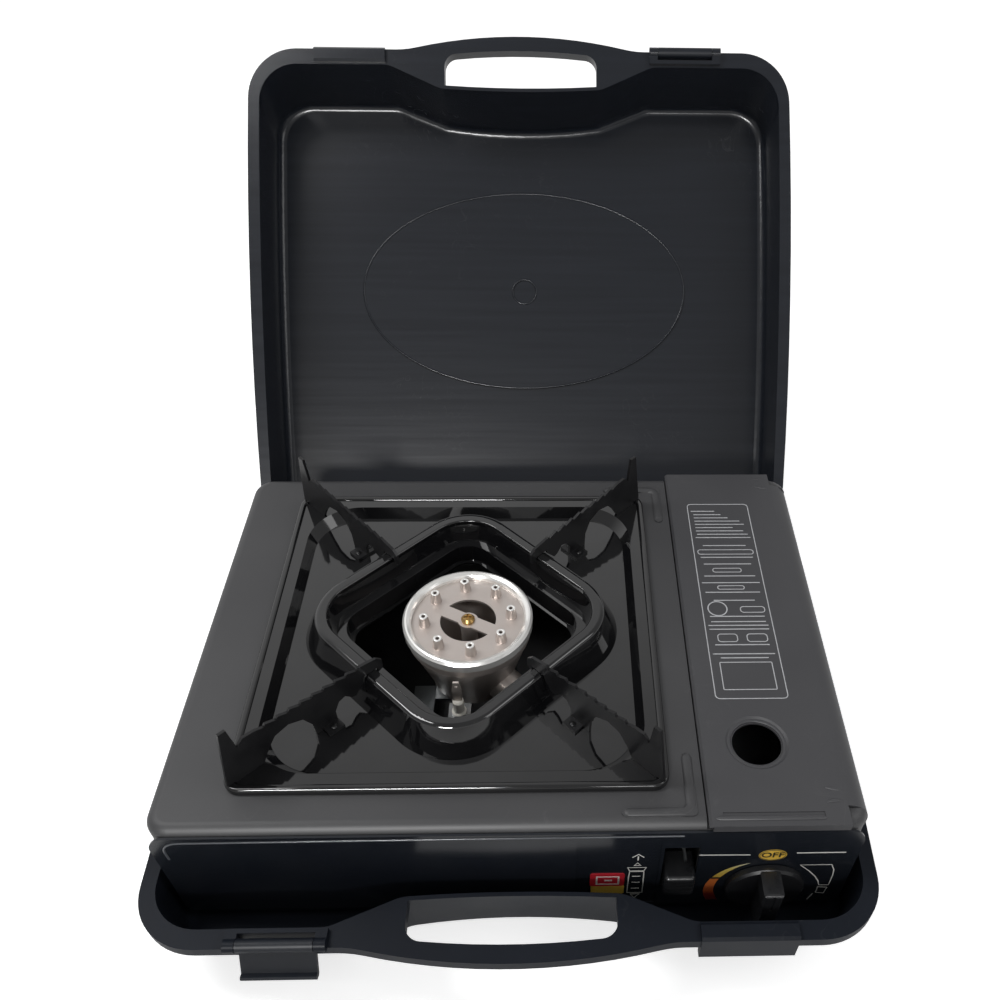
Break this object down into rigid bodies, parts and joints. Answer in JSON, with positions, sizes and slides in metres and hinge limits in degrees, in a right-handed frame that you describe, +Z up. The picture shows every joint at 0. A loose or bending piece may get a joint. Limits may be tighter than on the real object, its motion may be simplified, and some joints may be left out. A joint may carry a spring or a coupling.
{
  "type": "portable gas stove",
  "caption": "Flat cartridge stove with ring burner, square drip pan, serrated pan supports, hinged cartridge cover and lock lever, standing in its open hinged carry case.",
  "frame": {"origin": "middle of the stove's plan, on the flat underside of the case tray", "axes": "+X to the right, +Y to the back where the lid is hinged, +Z up"},
  "size_m": [0.368, 0.5436, 0.2805],
  "materials": {
    "case_plastic": "satin, finely textured",
    "latch_plastic": "satin",
    "body_paint": "satin powder coat",
    "panel_gloss": "high gloss",
    "enamel": "glossy enamel",
    "enamel_satin": "satin enamel",
    "galvanised_steel": "galvanised, dull",
    "polished_steel": "polished",
    "burner_aluminium": "satin cast",
    "cast_aluminium": "as cast",
    "brass": "turned",
    "knob_plastic": "gloss",
    "foot_rubber": "matte",
    "insulator_white": "glazed",
    "lead_rubber": "matte silicone",
    "igniter_plastic": "satin"
  },
  "bodies": {
    "case": {"case_tray": "case_plastic", "case_hinge_pins": "galvanised_steel", "tray_latch_pin": "galvanised_steel"},
    "lid": {"case_lid": "case_plastic", "lid_latch_pin": "galvanised_steel"},
    "tray_latch": {"tray_latch": "latch_plastic"},
    "lid_latch": {"lid_latch": "latch_plastic"},
    "stove": {"base_plate": "enamel_satin", "base_screws": "galvanised_steel", "body_shell": "body_paint", "burner_bowl": "cast_aluminium", "burner_bracket": "galvanised_steel", "burner_nozzle_plate": "burner_aluminium", "burner_ring": "polished_steel", "burner_screw": "brass", "cartridge_cradle": "galvanised_steel", "cartridge_socket": "brass", "cover_hinge_brackets": "galvanised_steel", "cover_hinge_pins": "polished_steel", "electrode_bracket": "galvanised_steel", "electrode_insulator": "insulator_white", "front_panel": "panel_gloss", "gas_jet": "brass", "gas_pipe": "brass", "heat_shield": "enamel_satin", "igniter_bracket": "galvanised_steel", "igniter_electrode": "polished_steel", "igniter_lead": "lead_rubber", "lever_pin": "polished_steel", "notch_guide": "galvanised_steel", "piezo_igniter": "igniter_plastic", "regulator_body": "cast_aluminium", "regulator_bracket": "galvanised_steel", "regulator_cap": "cast_aluminium", "return_spring": "polished_steel", "rubber_feet": "foot_rubber", "slide_guides": "galvanised_steel", "socket_nozzle": "brass", "valve_block": "cast_aluminium", "venturi_tube": "galvanised_steel"},
    "pan": {"drip_pan": "enamel", "pan_support_front_left": "enamel_satin", "pan_support_front_right": "enamel_satin", "pan_support_rear_left": "enamel_satin", "pan_support_rear_right": "enamel_satin"},
    "knob": {"control_knob": "knob_plastic", "knob_shaft": "polished_steel"},
    "lever": {"lock_lever": "galvanised_steel", "lever_cap": "knob_plastic"},
    "slide": {"sliding_fork": "galvanised_steel"},
    "cover": {"cartridge_cover": "body_paint"}
  },
  "joints": [
    {"name": "lid_hinge", "type": "hinge", "parent": "case", "child": "lid", "pos_m": [0, 0.1417, 0.047], "axis": [-1, 0, 0], "range_deg": [-97, 0]},
    {"name": "tray_latch_hinge", "type": "hinge", "parent": "case", "child": "tray_latch", "pos_m": [-0.11, -0.164, 0.0482], "axis": [-1, 0, 0], "range_deg": [-25, 150]},
    {"name": "lid_latch_hinge", "type": "hinge", "parent": "lid", "child": "lid_latch", "pos_m": [0.11, 0.34655, 0.27391], "axis": [1, 0, 0], "range_deg": [-25, 150]},
    {"name": "stove_lift", "type": "slide", "parent": "case", "child": "stove", "axis": [0, 0, 1], "range_m": [0, 0.06]},
    {"name": "pan_lift", "type": "slide", "parent": "stove", "child": "pan", "axis": [0, 0, 1], "range_m": [0, 0.04]},
    {"name": "knob_turn", "type": "hinge", "parent": "stove", "child": "knob", "pos_m": [0.127, -0.1288, 0.033], "axis": [0, -1, 0], "range_deg": [0, 113]},
    {"name": "lever_swing", "type": "hinge", "parent": "stove", "child": "lever", "pos_m": [0.086, -0.07, 0.0496], "axis": [-1, 0, 0], "range_deg": [0, 16]},
    {"name": "fork_slide", "type": "slide", "parent": "stove", "child": "slide", "axis": [0, 1, 0], "range_m": [0, 0.0051]},
    {"name": "cover_hinge", "type": "hinge", "parent": "stove", "child": "cover", "pos_m": [0.1665, 0, 0.076], "axis": [0, 1, 0], "range_deg": [0, 100]}
  ],
  "couplings": [
    {"joint": "fork_slide", "follows": "lever_swing", "m_per_rad": 0.018}
  ]
}
